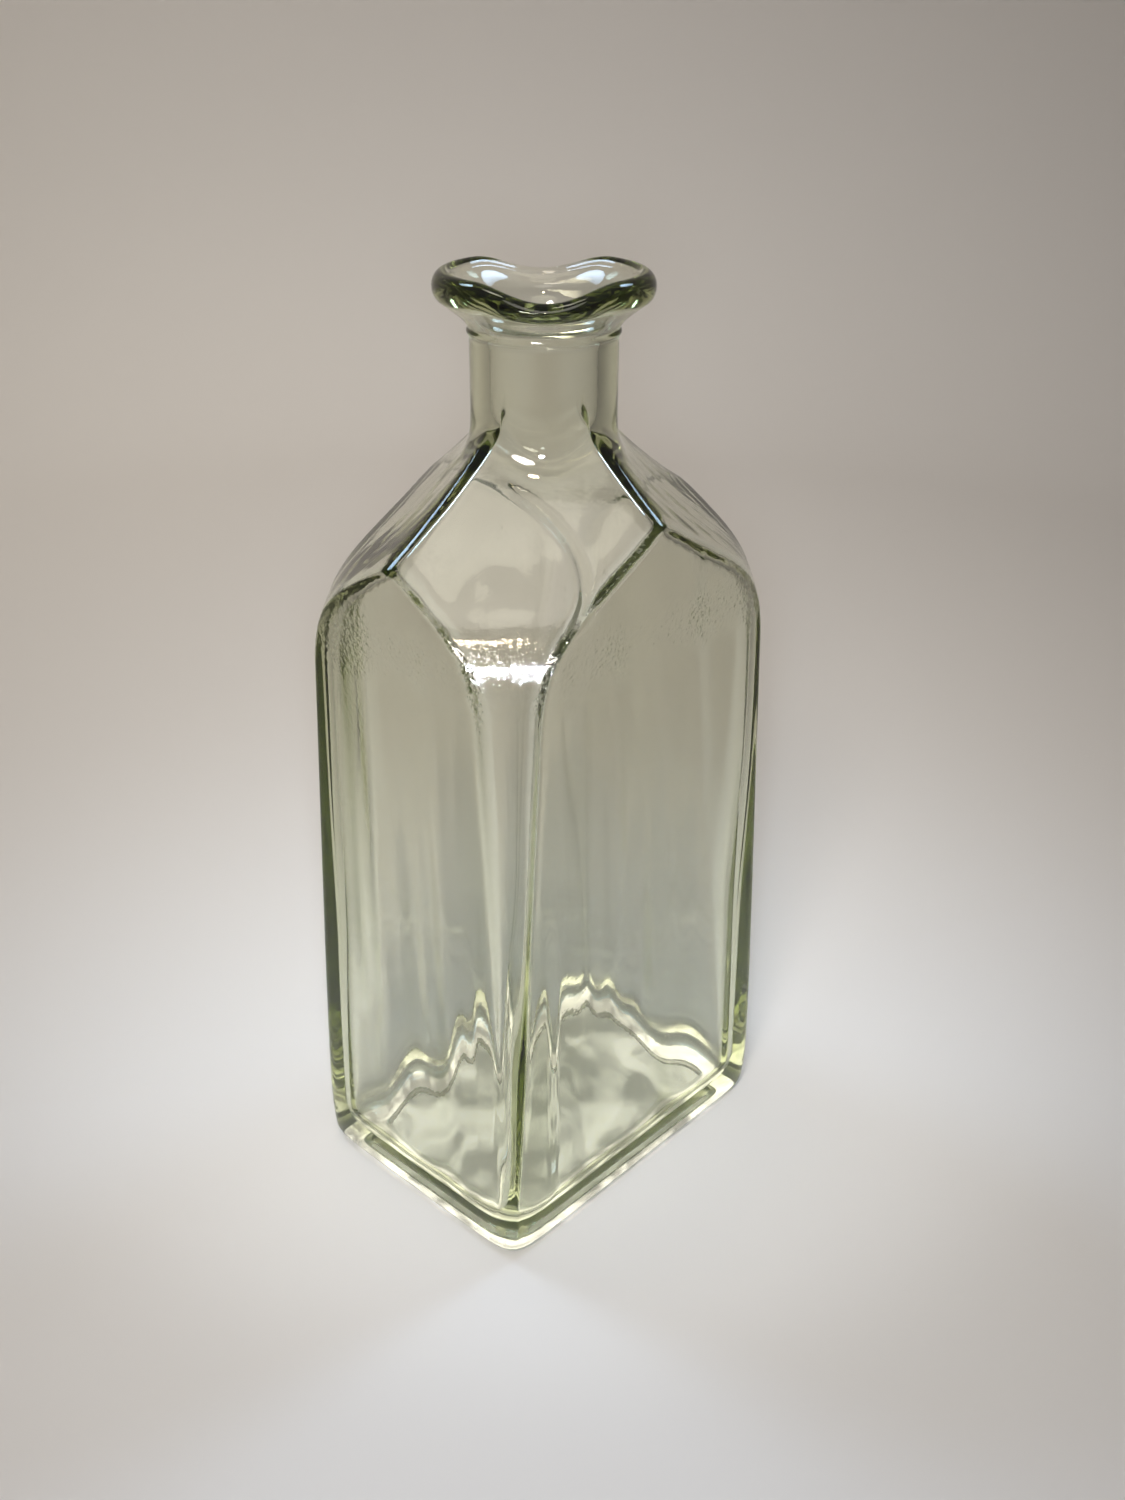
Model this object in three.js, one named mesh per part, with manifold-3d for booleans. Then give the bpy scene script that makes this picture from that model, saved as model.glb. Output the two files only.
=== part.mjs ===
// Rectangular glass bottle, open at the top: one moulded piece of thick glass.
//
// The body is a rectangular block with four flat faces. Each upright corner is cut back, hardly at all
// at the base and more and more towards the shoulder, where the cut bends over and runs up to the neck.
// Opposite corners are cut by one long vault, so two crossed vaults shape all four. The arrises between
// them run from the neck to the middle of each face, and each face ends in a pointed arch. A round neck
// carries a thick rounded lip with two pouring dips. The cavity follows the outside at the wall's thickness.
//
// Units are millimetres, +Z is up, and the origin is at the middle of the base, on the resting plane.

import * as THREE from 'three';
import { mergeVertices } from 'three/addons/utils/BufferGeometryUtils.js';
import Module from 'manifold-3d';

const wasm = await Module();
wasm.setup();

// Body
const BODY_WIDTH = 95;
const BODY_DEPTH = 70.5;
const CORNER_RADIUS = 4;
const HEEL_RADIUS = 3.5;
const RECESS_MARGIN = 11;
const RECESS_DEPTH = 1.6;

// Vaults: half-widths are measured from the axis along the direction in which the corners are cut
const CUT_DIRECTION = THREE.MathUtils.degToRad(47);
const CUT_AT_BASE = 1.1;
const SHOULDER_HALF_WIDTH = 51.2;
const SHOULDER_START = 139.5;
const SHOULDER_RISE = 24;
const SHOULDER_TOP = 186.3;
const SHOULDER_TOP_HALF_WIDTH = 15.4;
const SHOULDER_TOP_SLOPE = THREE.MathUtils.degToRad(50);
const SHOULDER_TOP_REACH = 36;

// Neck and lip
const NECK_RADIUS = 16;
const NECK_TOP = 211;
const NECK_FILLET = 9;
const BEAD_RADIUS = 16.7;
const BEAD_HEIGHT = 2;
const LIP_RADIUS = 23.6;
const LIP_CREST_RADIUS = 21;
const LIP_MOUTH_RADIUS = 19.2;
const LIP_TOP = 222.5;
const LIP_THICKNESS = 6.6;
const POUR_DIRECTION = THREE.MathUtils.degToRad(45);
const POUR_DEPTH = 3.3;
const POUR_HALF_ANGLE = THREE.MathUtils.degToRad(46);

// Cavity
const WALL = 4;
const VAULT_WALL = 3;
const FLOOR_THICKNESS = 5.5;
const CAVITY_CORNER_RADIUS = 11;
const CAVITY_HEEL_RADIUS = 7;
const BORE_RADIUS = 11.5;
const BORE_FLARE_START = 208;
const FUNNEL_RISE = 6.5;
const MOUTH_RUN = 4;
const MOUTH_DROP = 1.2;

// Facets
const ROUND_SEGMENTS = 64;
const CURVE_SEGMENTS = 16;
const SMALL_CURVE_SEGMENTS = 5;
const OVERSHOOT = 10;

const cutAcross = new THREE.Vector2(Math.cos(CUT_DIRECTION), Math.sin(CUT_DIRECTION));
const cornerHalfWidth = (cutAcross.x * BODY_WIDTH + cutAcross.y * BODY_DEPTH) / 2;

// A closed geometry as a solid that can be joined and cut.
function solidFrom(geometry) {
  const bare = geometry.index ? geometry.toNonIndexed() : geometry.clone();
  bare.deleteAttribute('normal');
  bare.deleteAttribute('uv');
  const merged = mergeVertices(bare, 1e-4);
  return new wasm.Manifold(
    new wasm.Mesh({
      numProp: 3,
      vertProperties: new Float32Array(merged.attributes.position.array),
      triVerts: new Uint32Array(merged.index.array),
    }),
  );
}

function geometryFrom(solid) {
  const mesh = solid.getMesh();
  const geometry = new THREE.BufferGeometry();
  geometry.setAttribute('position', new THREE.BufferAttribute(mesh.vertProperties, 3));
  geometry.setIndex(new THREE.BufferAttribute(mesh.triVerts, 1));
  return geometry;
}

function roundedRectangle(width, depth, radius) {
  const x = width / 2 - radius;
  const y = depth / 2 - radius;
  const shape = new THREE.Shape();
  shape.absarc(x, y, radius, 0, Math.PI / 2);
  shape.absarc(-x, y, radius, Math.PI / 2, Math.PI);
  shape.absarc(-x, -y, radius, Math.PI, 1.5 * Math.PI);
  shape.absarc(x, -y, radius, 1.5 * Math.PI, 2 * Math.PI);
  return shape;
}

// An upright block with a rounded plan and a rounded heel, from one height to another.
function block(width, depth, cornerRadius, heelRadius, bottom, top) {
  const geometry = new THREE.ExtrudeGeometry(roundedRectangle(width, depth, cornerRadius), {
    depth: top - bottom - 2 * heelRadius,
    curveSegments: SMALL_CURVE_SEGMENTS,
    bevelThickness: heelRadius,
    bevelSize: heelRadius,
    bevelOffset: -heelRadius,
    bevelSegments: SMALL_CURVE_SEGMENTS,
  });
  geometry.translate(0, 0, bottom + heelRadius);
  return solidFrom(geometry);
}

// The right half of a vault's outline: x is the half-width across the cut, y is the height.
function shoulderCurve() {
  const foot = new THREE.Vector2(cornerHalfWidth - CUT_AT_BASE, 0);
  const start = new THREE.Vector2(SHOULDER_HALF_WIDTH, SHOULDER_START);
  const end = new THREE.Vector2(SHOULDER_TOP_HALF_WIDTH, SHOULDER_TOP);
  const risingHandle = start.clone().sub(foot).setLength(SHOULDER_RISE).add(start);
  const topHandle = new THREE.Vector2(Math.cos(SHOULDER_TOP_SLOPE), -Math.sin(SHOULDER_TOP_SLOPE));
  topHandle.multiplyScalar(SHOULDER_TOP_REACH).add(end);
  return new THREE.CubicBezierCurve(start, risingHandle, topHandle, end);
}

// The same half outline moved inwards, from below the base to the peak on the axis.
function halfOutline(inset) {
  const curve = shoulderCurve();
  const points = curve.getSpacedPoints(CURVE_SEGMENTS).map((point, step) => {
    const along = curve.getTangentAt(step / CURVE_SEGMENTS);
    return new THREE.Vector2(point.x - inset * along.y, point.y + inset * along.x);
  });
  const first = points[0];
  const last = points.at(-1);
  const lean = (cornerHalfWidth - CUT_AT_BASE - SHOULDER_HALF_WIDTH) / SHOULDER_START;
  const foot = new THREE.Vector2(first.x + lean * (first.y + OVERSHOOT), -OVERSHOOT);
  const peak = new THREE.Vector2(0, last.y + last.x * Math.tan(SHOULDER_TOP_SLOPE));
  return [foot, ...points, peak];
}

// A long vault that lies across the body and cuts two opposite corners.
function vault(inset, direction) {
  const right = halfOutline(inset);
  const left = right.slice(0, -1).reverse().map((point) => new THREE.Vector2(-point.x, point.y));
  const length = 2 * (BODY_WIDTH + BODY_DEPTH);
  const geometry = new THREE.ExtrudeGeometry(new THREE.Shape([...right, ...left]), {
    depth: length,
    bevelEnabled: false,
  });
  geometry.translate(0, 0, -length / 2);
  geometry.rotateX(Math.PI / 2);
  geometry.rotateZ(direction);
  return solidFrom(geometry);
}

function cutByVaults(solid, inset) {
  return solid.intersect(vault(inset, CUT_DIRECTION)).intersect(vault(inset, -CUT_DIRECTION));
}

const outerOutline = halfOutline(0);

// Height of the outer vault at a distance from the axis, in a plan direction.
function vaultHeight(radius, angle) {
  const alongX = cutAcross.x * Math.abs(Math.cos(angle));
  const alongY = cutAcross.y * Math.abs(Math.sin(angle));
  const across = radius * (alongX + alongY);
  const next = outerOutline.findIndex((point) => point.x <= across);
  const low = outerOutline[next - 1];
  const high = outerOutline[next];
  return THREE.MathUtils.mapLinear(across, low.x, high.x, low.y, high.y);
}

// A turned solid about Z; every profile starts and ends on the axis, listed from the bottom up.
function turned(path) {
  const geometry = new THREE.LatheGeometry(path.getPoints(SMALL_CURVE_SEGMENTS), ROUND_SEGMENTS);
  geometry.rotateX(Math.PI / 2);
  return geometry;
}

function moveVertices(geometry, heightChange) {
  const position = geometry.attributes.position;
  for (let i = 0; i < position.count; i += 1) {
    const x = position.getX(i);
    const y = position.getY(i);
    const z = position.getZ(i);
    position.setZ(i, z + heightChange(Math.hypot(x, y), Math.atan2(y, x), z));
  }
  return geometry;
}

// The concave skirt that leads the neck into the shoulder: a turned profile set on the vault's surface.
function neckSkirt() {
  const reach = NECK_RADIUS + NECK_FILLET;
  const profile = new THREE.Path();
  profile.moveTo(0, -NECK_FILLET);
  profile.lineTo(reach, -NECK_FILLET);
  profile.lineTo(reach, -0.1);
  profile.quadraticCurveTo(NECK_RADIUS, 0, NECK_RADIUS - 0.1, NECK_FILLET);
  profile.lineTo(0, NECK_FILLET);
  return solidFrom(moveVertices(turned(profile), vaultHeight));
}

function neckAndLip() {
  const bandMiddle = LIP_TOP - LIP_THICKNESS / 2;
  const bandHalfWidth = LIP_RADIUS - LIP_CREST_RADIUS;
  const bandStart = THREE.MathUtils.degToRad(-50);
  const bandEnd = THREE.MathUtils.degToRad(150);
  const profile = new THREE.Path();
  profile.moveTo(0, SHOULDER_START);
  profile.lineTo(NECK_RADIUS, SHOULDER_START);
  profile.lineTo(NECK_RADIUS, NECK_TOP - BEAD_HEIGHT);
  profile.quadraticCurveTo(BEAD_RADIUS, NECK_TOP - BEAD_HEIGHT / 2, NECK_RADIUS + 0.2, NECK_TOP);
  profile.quadraticCurveTo(
    BEAD_RADIUS + 1,
    NECK_TOP + BEAD_HEIGHT,
    LIP_CREST_RADIUS + bandHalfWidth * Math.cos(bandStart),
    bandMiddle + (LIP_THICKNESS / 2) * Math.sin(bandStart),
  );
  profile.absellipse(LIP_CREST_RADIUS, bandMiddle, bandHalfWidth, LIP_THICKNESS / 2, bandStart, bandEnd);
  profile.lineTo(0, bandMiddle);
  return solidFrom(turned(profile));
}

function bore() {
  const rim = LIP_TOP - MOUTH_DROP;
  const funnelFoot = BORE_FLARE_START + FUNNEL_RISE;
  const funnelSide = LIP_MOUTH_RADIUS - MOUTH_RUN;
  const profile = new THREE.Path();
  profile.moveTo(0, SHOULDER_START);
  profile.lineTo(BORE_RADIUS, SHOULDER_START);
  profile.lineTo(BORE_RADIUS, BORE_FLARE_START);
  profile.bezierCurveTo(BORE_RADIUS, funnelFoot, funnelSide, LIP_TOP - MOUTH_RUN, LIP_MOUTH_RADIUS, rim);
  profile.lineTo(LIP_MOUTH_RADIUS, LIP_TOP + OVERSHOOT);
  profile.lineTo(0, LIP_TOP + OVERSHOOT);
  return solidFrom(turned(profile));
}

function cavity() {
  const width = BODY_WIDTH - 2 * WALL;
  const depth = BODY_DEPTH - 2 * WALL;
  const inside = block(width, depth, CAVITY_CORNER_RADIUS, CAVITY_HEEL_RADIUS, FLOOR_THICKNESS, LIP_TOP);
  return cutByVaults(inside, VAULT_WALL).add(bore());
}

// The shallow hollow under the base, which leaves a flat bearing ring round the edge.
function baseRecess() {
  const width = BODY_WIDTH - 2 * RECESS_MARGIN;
  const depth = BODY_DEPTH - 2 * RECESS_MARGIN;
  return block(width, depth, CAVITY_CORNER_RADIUS, RECESS_DEPTH, -OVERSHOOT, RECESS_DEPTH);
}

// How far the lip drops: two smooth dips, opposite each other, fading out below the band.
function pouringDip(radius, angle, height) {
  const fade = THREE.MathUtils.smoothstep(height, LIP_TOP - LIP_THICKNESS, LIP_TOP);
  const fromDip = Math.acos(Math.min(1, Math.abs(Math.cos(angle - POUR_DIRECTION))));
  const bell = fromDip < POUR_HALF_ANGLE ? (1 + Math.cos((Math.PI * fromDip) / POUR_HALF_ANGLE)) / 2 : 0;
  return -POUR_DEPTH * bell * fade;
}

function glassBottle() {
  const outerBlock = block(BODY_WIDTH, BODY_DEPTH, CORNER_RADIUS, HEEL_RADIUS, 0, LIP_TOP);
  const outside = cutByVaults(outerBlock, 0).add(neckSkirt()).add(neckAndLip());
  const hollow = outside.subtract(cavity()).subtract(baseRecess());
  const mesh = new THREE.Mesh(
    moveVertices(geometryFrom(hollow), pouringDip),
    new THREE.MeshStandardMaterial({ color: 0xa9b8a2, roughness: 0.08, metalness: 0 }),
  );
  mesh.name = 'glass_bottle';
  return mesh;
}

const bottle = new THREE.Group();
bottle.add(glassBottle());

export default bottle;
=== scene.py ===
"""Rectangular glass bottle: thick, pale green glass with cut corners and a lip that dips for pouring.

The bottle is one closed sheet of surface, made as rings. It starts under the base, climbs the outside,
rolls over the lip and goes down the inside to the middle of the cavity's floor.
"""

import math

import bpy
import numpy as np
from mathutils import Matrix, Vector


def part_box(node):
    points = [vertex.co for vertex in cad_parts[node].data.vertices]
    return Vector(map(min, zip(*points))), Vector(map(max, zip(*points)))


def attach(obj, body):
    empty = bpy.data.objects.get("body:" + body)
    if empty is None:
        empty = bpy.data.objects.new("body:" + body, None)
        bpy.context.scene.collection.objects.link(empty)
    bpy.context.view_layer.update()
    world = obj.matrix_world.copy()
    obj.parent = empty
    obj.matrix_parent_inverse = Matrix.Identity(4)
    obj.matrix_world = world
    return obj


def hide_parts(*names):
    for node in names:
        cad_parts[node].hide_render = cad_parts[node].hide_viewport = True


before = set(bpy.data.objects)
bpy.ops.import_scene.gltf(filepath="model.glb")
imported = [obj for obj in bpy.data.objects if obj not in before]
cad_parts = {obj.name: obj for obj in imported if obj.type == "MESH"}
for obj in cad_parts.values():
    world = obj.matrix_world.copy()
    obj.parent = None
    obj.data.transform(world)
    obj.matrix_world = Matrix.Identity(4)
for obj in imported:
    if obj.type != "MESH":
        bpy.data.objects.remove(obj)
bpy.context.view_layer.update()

MM = 0.001

# ---------------------------------------------------------------- sizes in millimetres, as in the CAD model
low_corner, high_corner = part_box("glass_bottle")
BODY_WIDTH = (high_corner[0] - low_corner[0]) / MM
BODY_DEPTH = (high_corner[1] - low_corner[1]) / MM
LIP_TOP = high_corner[2] / MM
HEEL_RADIUS = 3.5
RECESS_MARGIN = 11.0
RECESS_SLOPE = 3.0
RECESS_DEPTH = 1.6

CUT_DIRECTION = math.radians(47)
CUT_AT_BASE = 1.1
SHOULDER_HALF_WIDTH = 51.2
SHOULDER_START = 139.5
SHOULDER_RISE = 24.0
SHOULDER_TOP = 186.3
SHOULDER_TOP_HALF_WIDTH = 15.4
SHOULDER_TOP_SLOPE = math.radians(50)
SHOULDER_TOP_REACH = 36.0

NECK_RADIUS = 16.0
NECK_FOOT = 192.0
NECK_TOP = 211.0
BEAD_RADIUS = 16.7
BEAD_HEIGHT = 2.0
BEAD_TOP_STEP = 0.2
FLARE_SPREAD = 1.0
LIP_RADIUS = 23.6
LIP_CREST_RADIUS = 21.0
LIP_THICKNESS = 6.6
LIP_UNDERCUT = math.radians(-50)
LIP_ROLL = math.radians(150)
RIM_SLIDE_IN = 2.5
RIM_SLIDE_DOWN = 1.5
FUNNEL_DEPTH = 8.0
POUR_DIRECTION = math.radians(45)
POUR_DEPTH = 3.3
POUR_HALF_ANGLE = math.radians(46)

WALL = 4.0
VAULT_WALL = 3.0
FLOOR_THICKNESS = 5.5
FLOOR_CROWN = 1.2
CAVITY_HEEL_RADIUS = 7.0
CEILING_FOOT = SHOULDER_START - 10.0
BORE_RADIUS = 11.5
BORE_FLARE_START = 208.0

# ---------------------------------------------------------------- soft arrises: a higher power is crisper
FACE_EDGE_POWER = 130.0
BASE_CORNER_POWER = 20.0
BASE_CORNER_TOP = 60.0
VAULT_EDGE_POWER = 15.0
NECK_BLEND_POWER = 10.0
CAVITY_POWER_LOW = 15.0
CAVITY_POWER_HIGH = 36.0
CAVITY_CRISP_FOOT = 60.0
CAVITY_CRISP_RISE = 90.0
CAVITY_NECK_POWER = 10.0

# ---------------------------------------------------------------- what the mould left uneven, in millimetres
# Each family of waves: the wave's length, how many times taller than wide it is, how many waves add up
WALL_WAVES = (26, 5, 9)
STREAK_WAVES = (9, 12, 7)
FLOOR_WAVES = (13, 1, 9)
CHILL_WAVES = (2.2, 1, 12)
GOLDEN_ANGLE = math.radians(137.5)
LENGTH_RANGE = 0.35
LENGTH_STEP = 1.7
LEAN_STEP = 2.3

WAVINESS = 0.9
WAVES_TOP_FADE = 30.0
STREAK_DEPTH = 0.2
STREAK_FOOT = 40.0
STREAK_RISE = 30.0
FLOOR_WAVINESS = 0.35
FLOOR_EDGE_SHARE = 0.125
OUTER_WAVINESS = 0.12
OUTER_WAVES_TOP = 190.0
OUTER_WAVES_FADE = 20.0

CHILL_DEPTH = 0.09
CHILL_FOOT = 140.0
CHILL_RISE = 8.0
CHILL_TOP = 180.0
CHILL_TOP_FADE = 14.0

SEAM_HEIGHT = 0.6
SEAM_WIDTH = 1.0
SEAM_EXTRA_WIDTH = 0.5
SEAM_WIDENING = 20.0
SEAM_TOP = SHOULDER_TOP - 11.0
SEAM_FADE = 4.0

SWELL_DEPTH = 2.0
SWELL_DIRECTION = math.radians(143)
SWELL_SPREAD = math.radians(16)
SWELL_FOOT = 20.0
SWELL_RISE = 110.0
SWELL_TOP = 180.0
SWELL_TOP_FADE = 30.0

CORNER_SHIFT = 2.0
CORNER_POWER = 44.0
CORNER_DIRECTION = math.radians(214.5)
CORNER_SPREAD = math.radians(12)
CORNER_FADE = math.radians(5)
CORNER_FOOT_FADE = 10.0
CORNER_TOP = 110.0
CORNER_TOP_FADE = 70.0
SMALLEST_COSINE = 0.1

CREASE_DEPTH = 1.3
CREASE_WIDTH = 1.3
CREASE_HEIGHT = 163.8
CREASE_SIDE = 6.6
CREASE_CURVE = 0.056
CREASE_BELOW = 8.0
CREASE_FOOT_FADE = 4.0
CREASE_ABOVE = 18.0
CREASE_TOP_FADE = 6.0

# ---------------------------------------------------------------- how fine the surface is
COLUMNS = 720
VAULT_STEPS = 400
HOLLOW_CENTRE_SHARE = 0.06
FLOOR_CENTRE_SHARE = 0.03
RINGS = {
    "hollow": 16,
    "hollow_slope": 8,
    "foot": 6,
    "heel": 10,
    "walls": 82,
    "shoulder": 96,
    "neck": 18,
    "bead": 8,
    "flare": 12,
    "lip": 30,
    "funnel": 24,
    "bore": 14,
    "ceiling": 80,
    "cavity_walls": 60,
    "cavity_heel": 14,
    "cavity_floor": 44,
}

angles = np.arange(COLUMNS) * (2 * math.pi / COLUMNS)
cut_x, cut_y = math.cos(CUT_DIRECTION), math.sin(CUT_DIRECTION)
corner_half_width = (cut_x * BODY_WIDTH + cut_y * BODY_DEPTH) / 2
foot_half_width = corner_half_width - CUT_AT_BASE


# ---------------------------------------------------------------- curves and fades
def smooth(t):
    t = np.clip(t, 0, 1)
    return t * t * (3 - 2 * t)


def fade_in(value, start, reach):
    """0 up to start, then rising smoothly to 1 over reach."""
    return smooth((value - start) / reach)


def fade_out(value, end, reach):
    """1 at first, then falling smoothly to 0 over the reach before end."""
    return smooth((end - value) / reach)


def bezier(points, count):
    p0, p1, p2, p3 = (np.array(p, float) for p in points)
    t = np.linspace(0, 1, count)[:, None]
    return (1 - t) ** 3 * p0 + 3 * (1 - t) ** 2 * t * p1 + 3 * (1 - t) * t**2 * p2 + t**3 * p3


def turn_from(direction):
    """How far each column is turned from a direction, from -pi to pi."""
    return np.angle(np.exp(1j * (angles - direction)))


# ---------------------------------------------------------------- the vault that cuts the corners
def vault_outline(inset):
    """Half-width against height of the vault, moved inwards by a wall's thickness."""
    lean = (foot_half_width - SHOULDER_HALF_WIDTH) / SHOULDER_START
    rise = SHOULDER_RISE / math.hypot(1, lean)
    start = (SHOULDER_HALF_WIDTH, SHOULDER_START)
    end = (SHOULDER_TOP_HALF_WIDTH, SHOULDER_TOP)
    rising_handle = (start[0] - lean * rise, start[1] + rise)
    top_handle = (
        end[0] + SHOULDER_TOP_REACH * math.cos(SHOULDER_TOP_SLOPE),
        end[1] - SHOULDER_TOP_REACH * math.sin(SHOULDER_TOP_SLOPE),
    )
    curve = bezier([start, rising_handle, top_handle, end], VAULT_STEPS)
    along = np.gradient(curve, axis=0)
    along /= np.linalg.norm(along, axis=1)[:, None]
    curve = curve + inset * np.column_stack([-along[:, 1], along[:, 0]])
    foot = (curve[0, 0] + lean * curve[0, 1], 0.0)
    peak = (0.0, curve[-1, 1] + curve[-1, 0] * math.tan(SHOULDER_TOP_SLOPE))
    return np.vstack([foot, curve, peak])


outer_vault = vault_outline(0)
cavity_vault = vault_outline(VAULT_WALL)


def soft_polygon(half_x, half_y, half_cut, edge_power, vault_power):
    """Distance from the axis, for every column, of a block whose corners are cut; its arrises are soft."""
    smallest = 1.0
    cosine, sine = np.cos(angles), np.sin(angles)
    reaches = []
    for side_x in (-1, 1):
        for side_y in (-1, 1):
            reach = (side_x * cut_x * cosine + side_y * cut_y * sine) / max(half_cut, smallest)
            reaches.append(np.maximum(reach, 0))
    furthest = np.max(reaches, axis=0)
    vaults = furthest * np.sum((reaches / furthest) ** vault_power, axis=0) ** (1 / vault_power)
    faces = np.maximum(np.abs(cosine) / half_x, np.abs(sine) / half_y)
    scale = np.maximum(vaults, faces)
    total = (vaults / scale) ** edge_power
    total = total + (np.abs(cosine) / half_x / scale) ** edge_power
    total = total + (np.abs(sine) / half_y / scale) ** edge_power
    return 1 / (scale * total ** (1 / edge_power))


def blend_outwards(a, b, power):
    """The larger of two distances, with a concave blend where they meet."""
    top = np.maximum(a, b)
    return top * ((a / top) ** power + (b / top) ** power) ** (1 / power)


# ---------------------------------------------------------------- the outside's shape at one height
def outer_ring(height, inset=0.0):
    half_x = BODY_WIDTH / 2 - inset
    half_y = BODY_DEPTH / 2 - inset
    half_cut = np.interp(height, outer_vault[:, 1], outer_vault[:, 0]) - inset
    crisp = min(1.0, height / BASE_CORNER_TOP)
    edge_power = BASE_CORNER_POWER + (FACE_EDGE_POWER - BASE_CORNER_POWER) * crisp
    return soft_polygon(half_x, half_y, half_cut, edge_power, VAULT_EDGE_POWER)


def seam_x(height):
    """Where the edge between the front cut corner and the wide face is, along the wide face."""
    half_cut = np.interp(height, outer_vault[:, 1], outer_vault[:, 0])
    return (cut_y * BODY_DEPTH / 2 - half_cut) / cut_x


def seam(radius, height):
    """The mould's raised seam, along the edge between the front cut corner and the wide face."""
    off_x = radius * np.cos(angles) - seam_x(height)
    off_y = radius * np.sin(angles) + BODY_DEPTH / 2
    reach = SEAM_WIDTH * (1 + SEAM_EXTRA_WIDTH * fade_in(height, SHOULDER_START, SEAM_WIDENING))
    ends = fade_out(height, SEAM_TOP, SEAM_FADE) * fade_in(height, HEEL_RADIUS, SEAM_FADE)
    return SEAM_HEIGHT * ends * np.exp(-(off_x**2 + off_y**2) / reach**2)


# ---------------------------------------------------------------- the cavity's shape at one height
def cavity_ring(height, inset=0.0):
    half_x = BODY_WIDTH / 2 - WALL - inset
    half_y = BODY_DEPTH / 2 - WALL - inset
    half_cut = np.interp(height, cavity_vault[:, 1], cavity_vault[:, 0]) - inset
    crisp = fade_in(height, CAVITY_CRISP_FOOT, CAVITY_CRISP_RISE)
    power = CAVITY_POWER_LOW + (CAVITY_POWER_HIGH - CAVITY_POWER_LOW) * crisp
    return soft_polygon(half_x, half_y, half_cut, power, power) - corner_swell(height)


def corner_swell(height):
    """The extra glass left in the corner between the narrow face and the back, thickest near the shoulder."""
    turn = turn_from(SWELL_DIRECTION) / SWELL_SPREAD
    ends = fade_in(height, SWELL_FOOT, SWELL_RISE) * fade_out(height, SWELL_TOP, SWELL_TOP_FADE)
    return SWELL_DEPTH * np.exp(-turn * turn) * ends


def sharpen_front_corner(radius, height, inset=0.0):
    """Low down the cavity's front corner is sharp and off centre, which leaves a wedge of thick glass."""
    half_x = BODY_WIDTH / 2 - WALL - inset
    half_y = BODY_DEPTH / 2 - WALL - CORNER_SHIFT - inset
    to_narrow_face = half_x / np.maximum(-np.cos(angles), SMALLEST_COSINE)
    to_wide_face = half_y / np.maximum(-np.sin(angles), SMALLEST_COSINE)
    sharp = (to_narrow_face**-CORNER_POWER + to_wide_face**-CORNER_POWER) ** (-1 / CORNER_POWER)
    share = fade_out(np.abs(turn_from(CORNER_DIRECTION)), CORNER_SPREAD, CORNER_FADE)
    share = share * fade_in(height, FLOOR_THICKNESS, CORNER_FOOT_FADE)
    share = share * fade_out(height, CORNER_TOP, CORNER_TOP_FADE)
    return radius + share * (sharp - radius)


def crease(radius, height):
    """A soft fold inside the cut corner nearest the front: it runs down from the neck and curls back."""
    side = radius * (cut_y * np.cos(angles) - cut_x * np.sin(angles))
    facing = -(cut_x * np.cos(angles) + cut_y * np.sin(angles)) > 0
    line = CREASE_SIDE - CREASE_CURVE * (height - CREASE_HEIGHT) ** 2
    foot = fade_in(height, CREASE_HEIGHT - CREASE_BELOW, CREASE_FOOT_FADE)
    top = fade_out(height, CREASE_HEIGHT + CREASE_ABOVE, CREASE_TOP_FADE)
    return facing * CREASE_DEPTH * foot * top * np.exp(-(((side - line) / CREASE_WIDTH) ** 2))


# ---------------------------------------------------------------- rings, in order from under the base
rings = []


def ripple(x, y, z, wave_length, tall, count):
    """Unevenness between -1 and 1: waves that run across the wall and are long up and down it."""
    total = 0
    for i in range(count):
        heading = GOLDEN_ANGLE * i
        stretch = 1 + LENGTH_RANGE * math.sin(LENGTH_STEP * i)
        across = (x * math.cos(heading) + y * math.sin(heading)) / (wave_length * stretch)
        up = z / (wave_length * tall) * math.cos(LEAN_STEP * i + 1)
        total = total + np.sin(2 * math.pi * (across + up) + GOLDEN_ANGLE * i * i)
    return total / count


def chill_marks(radius, height):
    """Fine ripples between 0 and 2, left by the mould where the cut corners bend into the shoulder."""
    marks = 1 + ripple(radius * np.cos(angles), radius * np.sin(angles), height, *CHILL_WAVES)
    ends = fade_in(height, CHILL_FOOT, CHILL_RISE) * fade_out(height, CHILL_TOP, CHILL_TOP_FADE)
    return marks * ends


def add_ring(radius, height, waviness=0.0, streaks=0.0):
    """One ring of points; waviness and streaks are the heights of the long waves and of the narrow ones."""
    radius = np.broadcast_to(np.asarray(radius, float), (COLUMNS,))
    height = np.broadcast_to(np.asarray(height, float), (COLUMNS,))
    x, y = radius * np.cos(angles), radius * np.sin(angles)
    radius = radius + waviness * ripple(x, y, height, *WALL_WAVES)
    radius = radius + streaks * ripple(x, y, height, *STREAK_WAVES)
    rings.append(np.column_stack([radius * np.cos(angles), radius * np.sin(angles), height]))


def add_underside():
    slope_top = RECESS_MARGIN + RECESS_SLOPE / 2
    slope_foot = RECESS_MARGIN - RECESS_SLOPE / 2
    hollow = outer_ring(0, slope_top)
    for share in np.linspace(HOLLOW_CENTRE_SHARE, 1, RINGS["hollow"]):
        add_ring(hollow * share, RECESS_DEPTH)
    for inset in np.linspace(slope_top, slope_foot, RINGS["hollow_slope"])[1:]:
        add_ring(outer_ring(0, inset), RECESS_DEPTH * fade_in(inset, slope_foot, RECESS_SLOPE))
    for inset in np.linspace(slope_foot, HEEL_RADIUS, RINGS["foot"])[1:-1]:
        add_ring(outer_ring(0, inset), 0)


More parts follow.
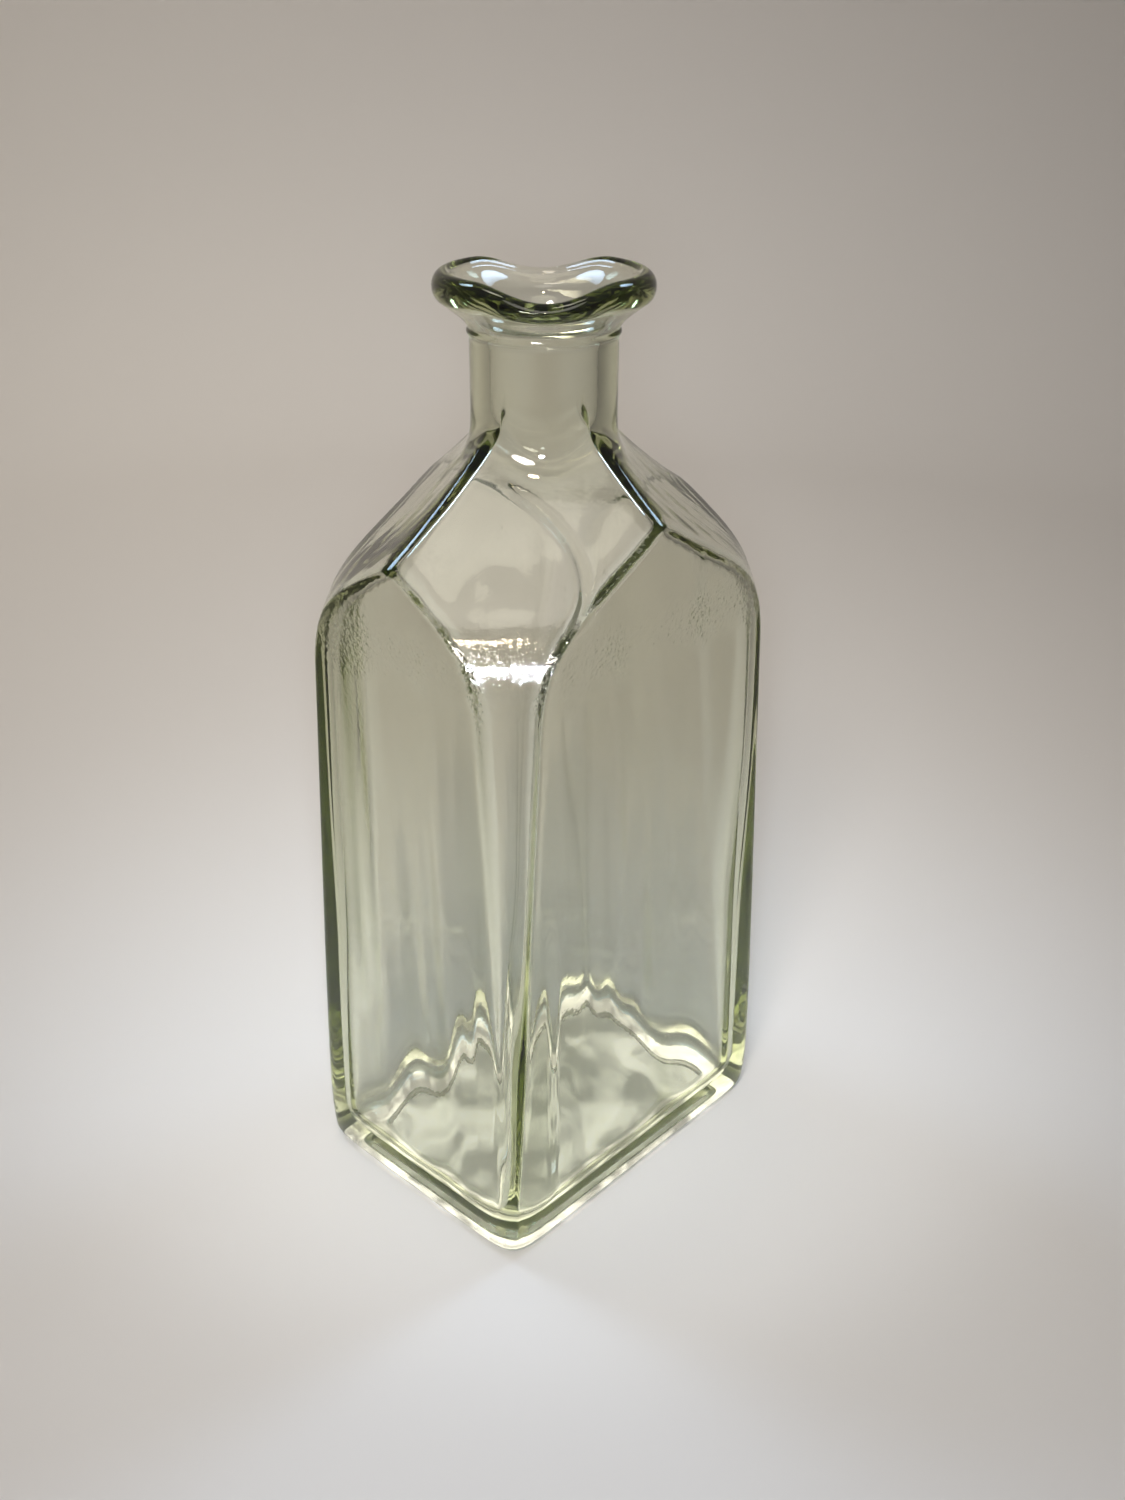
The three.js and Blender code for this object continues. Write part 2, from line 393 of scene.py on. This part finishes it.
def add_heel():
    for turn in np.linspace(0, math.pi / 2, RINGS["heel"])[:-1]:
        height = HEEL_RADIUS * (1 - math.cos(turn))
        add_ring(outer_ring(height, HEEL_RADIUS * (1 - math.sin(turn))), height)


def add_outside():
    walls = np.linspace(HEEL_RADIUS, SHOULDER_START, RINGS["walls"])[:-1]
    shoulder = np.linspace(SHOULDER_START, NECK_FOOT, RINGS["shoulder"])[:-1]
    neck = np.linspace(NECK_FOOT, NECK_TOP - BEAD_HEIGHT, RINGS["neck"])
    for height in np.concatenate([walls, shoulder, neck]):
        shape = blend_outwards(outer_ring(height), NECK_RADIUS, NECK_BLEND_POWER)
        shape = shape + seam(shape, height) - CHILL_DEPTH * chill_marks(shape, height)
        foot = fade_in(height, HEEL_RADIUS, OUTER_WAVES_FADE)
        waviness = OUTER_WAVINESS * foot * fade_out(height, OUTER_WAVES_TOP, OUTER_WAVES_FADE)
        add_ring(shape - waviness, height, waviness)


def lip_path():
    """Distance from the axis and height, from the neck's bead, round the lip and down to the bore."""
    middle = LIP_TOP - LIP_THICKNESS / 2
    turn = np.linspace(LIP_UNDERCUT, LIP_ROLL, RINGS["lip"])
    band_radius = LIP_CREST_RADIUS + (LIP_RADIUS - LIP_CREST_RADIUS) * np.cos(turn)
    band = np.column_stack([band_radius, middle + LIP_THICKNESS / 2 * np.sin(turn)])
    bead_foot = (NECK_RADIUS, NECK_TOP - BEAD_HEIGHT)
    bead_side = (BEAD_RADIUS, NECK_TOP - BEAD_HEIGHT / 2)
    bead_top = (NECK_RADIUS + BEAD_TOP_STEP, NECK_TOP)
    bead = bezier([bead_foot, bead_side, bead_side, bead_top], RINGS["bead"])
    flare_side = (BEAD_RADIUS + FLARE_SPREAD, NECK_TOP + BEAD_HEIGHT)
    flare = bezier([bead_top, flare_side, flare_side, band[0]], RINGS["flare"])
    rim = band[-1]
    slide = (rim[0] - RIM_SLIDE_IN, rim[1] - RIM_SLIDE_DOWN)
    throat = (BORE_RADIUS, LIP_TOP - FUNNEL_DEPTH)
    funnel = bezier([rim, slide, throat, (BORE_RADIUS, BORE_FLARE_START)], RINGS["funnel"])
    return np.vstack([bead[1:], flare[1:], band[1:], funnel[1:]])


def add_lip():
    from_dip = np.arccos(np.clip(np.abs(np.cos(angles - POUR_DIRECTION)), 0, 1))
    bell = np.where(from_dip < POUR_HALF_ANGLE, (1 + np.cos(math.pi * from_dip / POUR_HALF_ANGLE)) / 2, 0)
    for radius, height in lip_path():
        share = fade_in(height, LIP_TOP - LIP_THICKNESS, LIP_THICKNESS)
        add_ring(radius, height - POUR_DEPTH * bell * share)


def add_cavity_walls():
    walls_foot = FLOOR_THICKNESS + CAVITY_HEEL_RADIUS
    bore = np.linspace(BORE_FLARE_START, NECK_FOOT, RINGS["bore"])[1:-1]
    ceiling = np.linspace(NECK_FOOT, CEILING_FOOT, RINGS["ceiling"])[:-1]
    walls = np.linspace(CEILING_FOOT, walls_foot, RINGS["cavity_walls"])
    for height in np.concatenate([bore, ceiling, walls]):
        shape = blend_outwards(cavity_ring(height), BORE_RADIUS, CAVITY_NECK_POWER)
        shape = sharpen_front_corner(shape - crease(shape, height), height)
        evenness = fade_out(height, NECK_FOOT, WAVES_TOP_FADE)
        streaks = STREAK_DEPTH * evenness * fade_in(height, STREAK_FOOT, STREAK_RISE)
        add_ring(shape, height, WAVINESS * evenness, streaks)


def add_cavity_heel():
    for turn in np.linspace(0, math.pi / 2, RINGS["cavity_heel"])[1:]:
        height = FLOOR_THICKNESS + CAVITY_HEEL_RADIUS * (1 - math.sin(turn))
        inset = CAVITY_HEEL_RADIUS * (1 - math.cos(turn))
        shape = sharpen_front_corner(cavity_ring(height, inset), height, inset)
        add_ring(shape, height, WAVINESS * math.cos(turn))


def add_cavity_floor():
    """The floor rises a little to its middle and is uneven, except along its edge."""
    edge = cavity_ring(FLOOR_THICKNESS, CAVITY_HEEL_RADIUS)
    for share in np.linspace(1, FLOOR_CENTRE_SHARE, RINGS["cavity_floor"])[1:]:
        radius = edge * share
        rough = ripple(radius * np.cos(angles), radius * np.sin(angles), 0, *FLOOR_WAVES)
        rough = FLOOR_WAVINESS * smooth((1 - share) / FLOOR_EDGE_SHARE) * rough
        add_ring(radius, FLOOR_THICKNESS + FLOOR_CROWN * smooth(1 - share) + rough)


def ring_faces():
    """Quads between neighbouring rings, and a fan of triangles round each of the two middle points."""
    column = np.arange(COLUMNS)
    following = np.roll(column, -1)
    faces = []
    for row in range(len(rings) - 1):
        base, above = row * COLUMNS, (row + 1) * COLUMNS
        quads = np.column_stack([base + column, base + following, above + following, above + column])
        faces.extend(quads.tolist())
    last = (len(rings) - 1) * COLUMNS
    under_middle = np.full(COLUMNS, len(rings) * COLUMNS)
    floor_middle = under_middle + 1
    faces.extend(np.column_stack([following, column, under_middle]).tolist())
    faces.extend(np.column_stack([last + column, last + following, floor_middle]).tolist())
    return faces


def add_mesh_object(name, points, faces):
    mesh = bpy.data.meshes.new(name)
    mesh.from_pydata(points, [], faces)
    mesh.polygons.foreach_set("use_smooth", [True] * len(mesh.polygons))
    mesh.update()
    shape = bpy.data.objects.new(name, mesh)
    bpy.context.scene.collection.objects.link(shape)
    return shape


def make_bottle():
    add_underside()
    add_heel()
    add_outside()
    add_lip()
    add_cavity_walls()
    add_cavity_heel()
    add_cavity_floor()
    middles = np.array([(0, 0, rings[0][0, 2]), (0, 0, rings[-1][0, 2])])
    points = np.vstack([*rings, middles]) * MM
    return add_mesh_object("glass_bottle_shell", points.tolist(), ring_faces())


# ---------------------------------------------------------------- materials, in metres
GLASS_IOR = 1.52
GLASS_TINT = (0.5, 0.57, 0.14, 1)
GLASS_DENSITY = 43.0
BEND_HEIGHT = 0.150
BEND_REACH = 0.012
GRAIN_SCALE = 1100
GRAIN_DETAIL = 2
GRAIN_DEPTH = 0.00016
GRAIN_ELSEWHERE = 0.04
FROST_TOP = 0.003
FROST_ROUGHNESS = 0.5

PAPER_COLOUR = (0.78, 0.76, 0.75, 1)
PAPER_ROUGHNESS = 0.9
# Painted light: the paper glows in a soft patch under the bottle, mottled by noise, to light the thick base
# from below
PAINTED_GLOW_COLOUR = (1.0, 0.97, 0.92, 1)
PAINTED_BASE_GLOW = 0.42
PAINTED_GLOW_EDGE = 1.0
PAINTED_GLOW_FULL = 0.5
GLOW_MOTTLE_SCALE = 55
GLOW_MOTTLE_DETAIL = 3
GLOW_MOTTLE_DISTORTION = 1.2
GLOW_MOTTLE_NOISE = (0.4, 0.65)
GLOW_MOTTLE_STRENGTH = (0.4, 2.0)


def new_material(name):
    material = bpy.data.materials.new(name)
    material.use_nodes = True
    nodes = material.node_tree.nodes
    return material, nodes, material.node_tree.links, nodes["Principled BSDF"]


def noise_node(nodes, scale, detail, distortion=0.0):
    node = nodes.new("ShaderNodeTexNoise")
    node.inputs["Scale"].default_value = scale
    node.inputs["Detail"].default_value = detail
    node.inputs["Distortion"].default_value = distortion
    return node


def math_node(nodes, operation):
    node = nodes.new("ShaderNodeMath")
    node.operation = operation
    return node


def vector_node(nodes, operation):
    node = nodes.new("ShaderNodeVectorMath")
    node.operation = operation
    return node


def map_range_node(nodes, source, result):
    """A node that turns one stretch of values into another."""
    node = nodes.new("ShaderNodeMapRange")
    node.inputs["From Min"].default_value, node.inputs["From Max"].default_value = source
    node.inputs["To Min"].default_value, node.inputs["To Max"].default_value = result
    return node


def glass_material():
    """Pale green glass: grainy where the cut corners bend into the shoulder, ground where it stands."""
    material, nodes, links, shader = new_material("green_glass")
    place = nodes.new("ShaderNodeTexCoord")
    split = nodes.new("ShaderNodeSeparateXYZ")
    links.new(place.outputs["Object"], split.inputs["Vector"])

    from_bend = math_node(nodes, "SUBTRACT")
    from_bend.inputs[1].default_value = BEND_HEIGHT
    distance = math_node(nodes, "ABSOLUTE")
    at_bend = map_range_node(nodes, (BEND_REACH, 0.0), (GRAIN_ELSEWHERE, 1.0))
    at_bend.interpolation_type = "SMOOTHSTEP"
    grain = noise_node(nodes, GRAIN_SCALE, GRAIN_DETAIL)
    bump = nodes.new("ShaderNodeBump")
    bump.inputs["Distance"].default_value = GRAIN_DEPTH
    links.new(split.outputs["Z"], from_bend.inputs[0])
    links.new(from_bend.outputs["Value"], distance.inputs[0])
    links.new(distance.outputs["Value"], at_bend.inputs["Value"])
    links.new(place.outputs["Object"], grain.inputs["Vector"])
    links.new(at_bend.outputs["Result"], bump.inputs["Strength"])
    links.new(grain.outputs["Fac"], bump.inputs["Height"])
    links.new(bump.outputs["Normal"], shader.inputs["Normal"])

    frost = map_range_node(nodes, (FROST_TOP, 0.0), (0.0, FROST_ROUGHNESS))
    links.new(split.outputs["Z"], frost.inputs["Value"])
    links.new(frost.outputs["Result"], shader.inputs["Roughness"])

    shader.inputs["Base Color"].default_value = (1, 1, 1, 1)
    shader.inputs["IOR"].default_value = GLASS_IOR
    shader.inputs["Transmission Weight"].default_value = 1.0
    absorption = nodes.new("ShaderNodeVolumeAbsorption")
    absorption.inputs["Color"].default_value = GLASS_TINT
    absorption.inputs["Density"].default_value = GLASS_DENSITY
    links.new(absorption.outputs["Volume"], nodes["Material Output"].inputs["Volume"])
    return material


def paper_with_painted_glow_material():
    """Pale paper with painted light: a soft, mottled glow on the paper under the bottle, so that its thick
    base is lit from below.
    """
    material, nodes, links, shader = new_material("pale_paper_painted_glow")
    shader.inputs["Base Color"].default_value = PAPER_COLOUR
    shader.inputs["Roughness"].default_value = PAPER_ROUGHNESS
    shader.inputs["Emission Color"].default_value = PAINTED_GLOW_COLOUR
    place = nodes.new("ShaderNodeTexCoord")

    # The painted glow's patch is a rectangle with round corners, where x and y to the eighth power add up to
    # less than 1
    scaled = vector_node(nodes, "DIVIDE")
    scaled.inputs[1].default_value = (BODY_WIDTH * MM / 2, BODY_DEPTH * MM / 2, 1)
    squared = vector_node(nodes, "MULTIPLY")
    fourth = vector_node(nodes, "MULTIPLY")
    eighth = vector_node(nodes, "DOT_PRODUCT")
    patch = map_range_node(nodes, (PAINTED_GLOW_EDGE, PAINTED_GLOW_FULL), (0.0, PAINTED_BASE_GLOW))
    links.new(place.outputs["Object"], scaled.inputs[0])
    for socket in (0, 1):
        links.new(scaled.outputs["Vector"], squared.inputs[socket])
        links.new(squared.outputs["Vector"], fourth.inputs[socket])
        links.new(fourth.outputs["Vector"], eighth.inputs[socket])
    links.new(eighth.outputs["Value"], patch.inputs["Value"])

    # Noise makes the painted glow mottled
    glow_mottle = noise_node(nodes, GLOW_MOTTLE_SCALE, GLOW_MOTTLE_DETAIL, GLOW_MOTTLE_DISTORTION)
    uneven = map_range_node(nodes, GLOW_MOTTLE_NOISE, GLOW_MOTTLE_STRENGTH)
    painted_glow = math_node(nodes, "MULTIPLY")
    links.new(place.outputs["Object"], glow_mottle.inputs["Vector"])
    links.new(glow_mottle.outputs["Fac"], uneven.inputs["Value"])
    links.new(patch.outputs["Result"], painted_glow.inputs[0])
    links.new(uneven.outputs["Result"], painted_glow.inputs[1])
    links.new(painted_glow.outputs["Value"], shader.inputs["Emission Strength"])
    return material


# ---------------------------------------------------------------- stage, lights and camera, in metres
FLOOR_CENTRE = 0.02
FLOOR_RADIUS = 0.62
FLOOR_STEPS = 12
FLOOR_SIDES = 128
SWEEP_RADIUS = 0.30
SWEEP_STEPS = 24
WALL_TOP = 0.95

ROOM_COLOUR = (1.0, 0.96, 0.93, 1)
ROOM_STRENGTH = 0.24
WARM_WHITE = (1.0, 0.945, 0.88)
COOL_WHITE = (0.85, 0.93, 1.0)
LAMP_YELLOW = (1.0, 0.85, 0.6)
BACK_YELLOW = (1.0, 0.91, 0.76)
CEILING_WHITE = (1.0, 0.95, 0.85)
SKY_BLUE = (0.55, 0.75, 1.0)
WINDOW_SIZE = 0.26
WINDOW_POWER = 0.08
WINDOW_SPREAD = 34

CAMERA_PLACE = (-0.2345, -0.224, 0.2763)
CAMERA_AIM = (0.0031, -0.0033, 0.1098)
CAMERA_ROLL = math.radians(0.4)
FOCAL_LENGTH = 36.1
SENSOR = 36.0
NEAREST = 0.01

MOST_BOUNCES = 32
GLOSSY_BOUNCES = 16


def make_stage(material):
    """A round floor that sweeps up into a wall, so that every side has the same pale backdrop."""
    profile = [(radius, 0.0) for radius in np.linspace(FLOOR_CENTRE, FLOOR_RADIUS, FLOOR_STEPS)]
    for turn in np.linspace(0, math.pi / 2, SWEEP_STEPS)[1:]:
        radius = FLOOR_RADIUS + SWEEP_RADIUS * math.sin(turn)
        profile.append((radius, SWEEP_RADIUS * (1 - math.cos(turn))))
    profile.append((FLOOR_RADIUS + SWEEP_RADIUS, WALL_TOP))
    points = [(0.0, 0.0, 0.0)]
    for radius, height in profile:
        for i in range(FLOOR_SIDES):
            turn = 2 * math.pi * i / FLOOR_SIDES
            points.append((radius * math.cos(turn), radius * math.sin(turn), height))
    faces = [(0, 1 + i, 1 + (i + 1) % FLOOR_SIDES) for i in range(FLOOR_SIDES)]
    for row in range(len(profile) - 1):
        a, b = 1 + row * FLOOR_SIDES, 1 + (row + 1) * FLOOR_SIDES
        for i in range(FLOOR_SIDES):
            following = (i + 1) % FLOOR_SIDES
            faces.append((a + i, b + i, b + following, a + following))
    floor = add_mesh_object("paper_floor", points, faces)
    floor.data.materials.append(material)


def area_light(name, place, target, size, power, colour, spread):
    light = bpy.data.lights.new(name, "AREA")
    light.shape = "DISK"
    light.size = size
    light.spread = math.radians(spread)
    light.energy = power
    light.color = colour
    lamp = bpy.data.objects.new(name, light)
    lamp.visible_camera = False
    lamp.location = place
    lamp.rotation_euler = (Vector(target) - Vector(place)).to_track_quat("-Z", "Y").to_euler()
    bpy.context.scene.collection.objects.link(lamp)


def make_room():
    world = bpy.data.worlds.new("soft_room")
    bpy.context.scene.world = world
    world.use_nodes = True
    background = world.node_tree.nodes["Background"]
    background.inputs["Color"].default_value = ROOM_COLOUR
    background.inputs["Strength"].default_value = ROOM_STRENGTH


def make_lights():
    """Lights by place, target, size, power, colour and spread; the windows make the blue lines on arrises."""
    area_light("key_light", (-0.36, -0.22, 0.46), (0, 0, 0.06), 0.12, 0.22, WARM_WHITE, 70)
    area_light("flash", (-0.236, -0.222, 0.270), (0, 0, 0.15), 0.034, 0.2, COOL_WHITE, 60)
    area_light("lamp", (-0.4, -0.4, 0.9), (0, 0, 0.1), 0.05, 0.1, LAMP_YELLOW, 60)
    area_light("back_light", (0.0, 0.2, 1.1), (0.32, 0.6, 0.1), 0.3, 1.1, BACK_YELLOW, 90)
    area_light("ceiling", (-0.17, -0.17, 1.0), (0, 0, 0), 0.3, 0.045, CEILING_WHITE, 50)
    windows = {
        "left_window": ((-0.10, 0.51, 0.78), (-0.03, 0, 0.17)),
        "right_window": ((0.55, -0.11, 0.75), (0, -0.03, 0.17)),
    }
    for name, (place, target) in windows.items():
        area_light(name, place, target, WINDOW_SIZE, WINDOW_POWER, SKY_BLUE, WINDOW_SPREAD)


def make_camera():
    camera = bpy.data.cameras.new("photo_camera")
    camera.sensor_fit = "AUTO"
    camera.sensor_width = SENSOR
    camera.lens = FOCAL_LENGTH
    camera.clip_start = NEAREST
    holder = bpy.data.objects.new("photo_camera", camera)
    holder.location = CAMERA_PLACE
    aim = (Vector(CAMERA_AIM) - Vector(CAMERA_PLACE)).to_track_quat("-Z", "Y")
    holder.rotation_euler = aim.to_euler()
    holder.rotation_euler.rotate_axis("Z", CAMERA_ROLL)
    bpy.context.scene.collection.objects.link(holder)
    bpy.context.scene.camera = holder


make_camera()
bottle = make_bottle()
bottle.data.materials.append(glass_material())
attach(bottle, "root")
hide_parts("glass_bottle")
make_stage(paper_with_painted_glow_material())
make_room()
make_lights()

bpy.context.scene.view_settings.view_transform = "Standard"
bpy.context.scene.cycles.max_bounces = MOST_BOUNCES
bpy.context.scene.cycles.transmission_bounces = MOST_BOUNCES
bpy.context.scene.cycles.glossy_bounces = GLOSSY_BOUNCES
